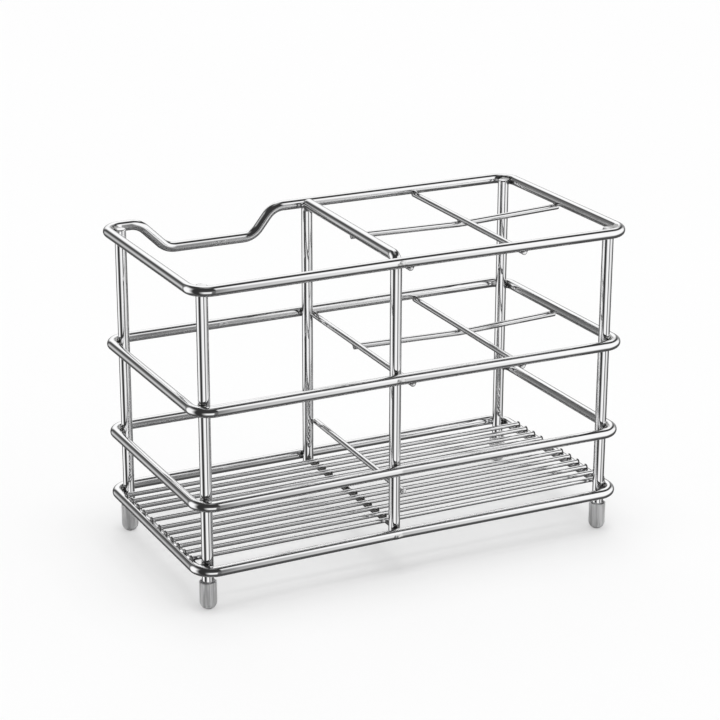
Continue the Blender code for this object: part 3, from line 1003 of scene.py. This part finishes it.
def make_floor():
    mesh = bpy.data.meshes.new("floor")
    signs = ((-1, -1), (1, -1), (1, 1), (-1, 1))
    outline = [(sx * FLOOR_HALF, sy * FLOOR_HALF, 0) for sx, sy in signs]
    mesh.from_pydata(outline, [], [(0, 1, 2, 3)])
    floor = bpy.data.objects.new("floor", mesh)
    bpy.context.scene.collection.objects.link(floor)
    made, tree = new_tree("pale_floor")
    place = node(tree, "TexCoord").outputs["Object"]
    tone = mix_colour(tree, noise(tree, place, *FLOOR_CLOUD), *(grey(tone) for tone in FLOOR_TONES))
    matte = node(tree, "BsdfDiffuse", Color=tone).outputs[0]
    glow = node(tree, "Emission", Color=grey(1.0), Strength=1.0).outputs[0]
    rays = node(tree, "LightPath").outputs
    seen = calc(tree, "MAXIMUM", rays["Is Camera Ray"], rays["Is Transmission Ray"])
    seen = calc(tree, "MAXIMUM", seen, rays["Is Glossy Ray"])
    share = calc(tree, "MULTIPLY", seen, FLOOR_WHITE_SHARE)
    both = node(tree, "MixShader", Fac=share, i1=matte, i2=glow)
    finish_tree(tree, both)
    mesh.materials.append(made)
    floor.visible_glossy = False


def make_lamp():
    lamp = bpy.data.lights.new("overhead_softbox", "SUN")
    lamp.energy = LAMP_STRENGTH
    lamp.angle = LAMP_SPREAD
    made = bpy.data.objects.new("overhead_softbox", lamp)
    bpy.context.scene.collection.objects.link(made)
    towards = Vector(UP) + LAMP_SIDE * Vector(TO_RIGHT) + LAMP_BACK * Vector(AHEAD)
    made.rotation_euler = towards.to_track_quat("Z", "Y").to_euler()
    made.visible_glossy = False


def make_camera():
    camera = bpy.data.cameras.new("camera")
    camera.sensor_width = SENSOR_MM
    camera.sensor_fit = "HORIZONTAL"
    camera.lens = CAMERA_FOCAL_PX * SENSOR_MM / IMAGE_PX
    camera.clip_start = CLIP_NEAR
    camera.clip_end = CLIP_FAR
    made = bpy.data.objects.new("camera", camera)
    bpy.context.scene.collection.objects.link(made)
    level = math.cos(CAMERA_PITCH)
    ahead = Vector((AHEAD[0] * level, AHEAD[1] * level, -math.sin(CAMERA_PITCH)))
    right = Vector(TO_RIGHT)
    up = right.cross(ahead)
    turned_right = math.cos(CAMERA_ROLL) * right + math.sin(CAMERA_ROLL) * up
    turned_up = math.cos(CAMERA_ROLL) * up - math.sin(CAMERA_ROLL) * right
    matrix = Matrix((turned_right, turned_up, -ahead)).transposed().to_4x4()
    matrix.translation = Vector(CAMERA_AT)
    made.matrix_world = matrix
    bpy.context.scene.camera = made


# ---------------------------------------------------------------- the piece itself

def dress(piece, slot, skin, *nodes):
    piece.data.materials.append(skin)
    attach(piece, ROOT)
    if nodes:
        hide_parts(*nodes)


def make_holder():
    thick, thin, painted_shade_tie = (wire_steel(name, *spec) for name, spec in WIRE_STEELS.items())
    bright, painted_shade_weld, pressed = (weld_steel(name, *spec) for name, spec in WELD_STEELS.items())
    silicone = cap_silicone("grey_silicone")
    wires = all_wires()
    for group, piece in make_welds(wires).items():
        if group.startswith("press_mark_"):
            skin = pressed
        else:
            # The base welds and knobs take the steel that is painted near black as contact shade.
            skin = painted_shade_weld if group.endswith("_base") else bright
        dress(piece, "steel_ring_" + group.rsplit("_", 1)[1], skin)
    for name, wire in wires.items():
        slim = wire.radius < RING_R
        piece = wire_object(name + "_drawn", wire, THIN_SIDES if slim else THICK_SIDES)
        # The base tie takes the steel that is painted dark as shade under the base wires.
        skin = painted_shade_tie if name == "tie_base" else thin if slim else thick
        dress(piece, "steel_" + name, skin, name)
    for place, sx, sy in corners():
        name = "foot_cap_" + place
        piece = cap_object(name + "_moulded", sx * POST_X, sy * POST_Y)
        dress(piece, "silicone_" + name, silicone, name)


make_camera()
make_world()
make_floor()
make_lamp()
make_holder()
bpy.context.scene.view_settings.view_transform = "Standard"
